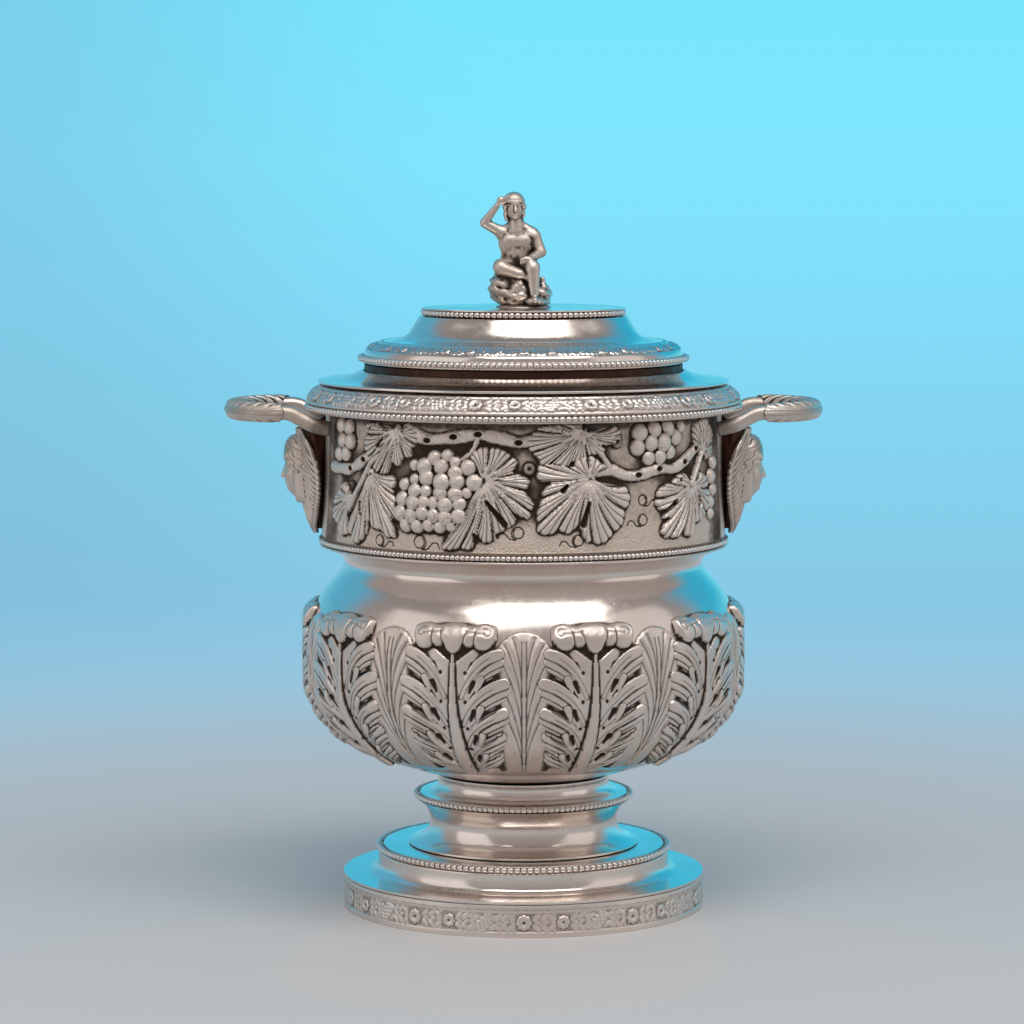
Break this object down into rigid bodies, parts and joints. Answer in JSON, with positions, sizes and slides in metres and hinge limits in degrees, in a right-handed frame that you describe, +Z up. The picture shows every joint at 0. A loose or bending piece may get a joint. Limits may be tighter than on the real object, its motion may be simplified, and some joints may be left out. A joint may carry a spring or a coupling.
{
  "type": "covered sugar bowl",
  "caption": "Round silver sugar bowl on a stepped foot, with applied leaves, a figured frieze, loop handles over masks, and a loose domed lid with a seated-figure finial.",
  "frame": {"origin": "middle of the foot's flat underside", "axes": "+Z up along the bowl's axis, handles along X, front of the bowl towards -Y"},
  "size_m": [0.202, 0.1504, 0.2416],
  "materials": {
    "polished": "polished silver with fine wear scratches",
    "beading": "polished silver bead wire with dark tarnish between the beads",
    "die_rolled": "die-rolled silver with tarnished ground",
    "repousse": "chased repousse silver with a matted, blackened ground",
    "leaf_work": "cast and chased silver leaves with dark recesses",
    "lid_work": "polished silver dome with a die-rolled border",
    "cast": "cast and chased silver, worn bright on the high points",
    "fixings": "dull silver, hidden inside the lid"
  },
  "bodies": {
    "bowl": {"foot_band": "die_rolled", "foot_plate": "polished", "step_bead_wire": "beading", "stem_lower": "polished", "collar_bead_wire": "beading", "stem_upper": "polished", "bowl_shell": "polished", "frieze_bead_wire": "beading", "frieze_band": "repousse", "shoulder_bead_wire": "beading", "shoulder_band": "die_rolled", "shoulder_plate": "polished", "mouth_ring": "polished", "handle_left": "cast", "handle_right": "cast", "handle_sheath_left": "cast", "handle_sheath_right": "cast", "mask_left": "cast", "mask_right": "cast", "mask_plate_left": "cast", "mask_plate_right": "cast", "acanthus_leaf_01": "leaf_work", "acanthus_leaf_02": "leaf_work", "acanthus_leaf_03": "leaf_work", "acanthus_leaf_04": "leaf_work", "acanthus_leaf_05": "leaf_work", "acanthus_leaf_06": "leaf_work", "acanthus_leaf_07": "leaf_work", "acanthus_leaf_08": "leaf_work", "acanthus_leaf_09": "leaf_work", "acanthus_leaf_10": "leaf_work", "water_leaf_01": "leaf_work", "water_leaf_02": "leaf_work", "water_leaf_03": "leaf_work", "water_leaf_04": "leaf_work", "water_leaf_05": "leaf_work", "water_leaf_06": "leaf_work", "water_leaf_07": "leaf_work", "water_leaf_08": "leaf_work", "water_leaf_09": "leaf_work", "water_leaf_10": "leaf_work"},
    "lid": {"lid_shell": "lid_work", "lid_flange_bead_wire": "beading", "lid_top_bead_wire": "beading", "lid_bezel": "polished", "lid_top_plate": "polished", "finial_base": "cast", "finial_figure": "cast", "finial_stud": "fixings", "finial_nut": "fixings", "finial_washer": "fixings"}
  },
  "joints": [
    {"name": "lid_lift", "type": "slide", "parent": "bowl", "child": "lid", "axis": [0, 0, 1], "range_m": [0, 0.08]}
  ]
}
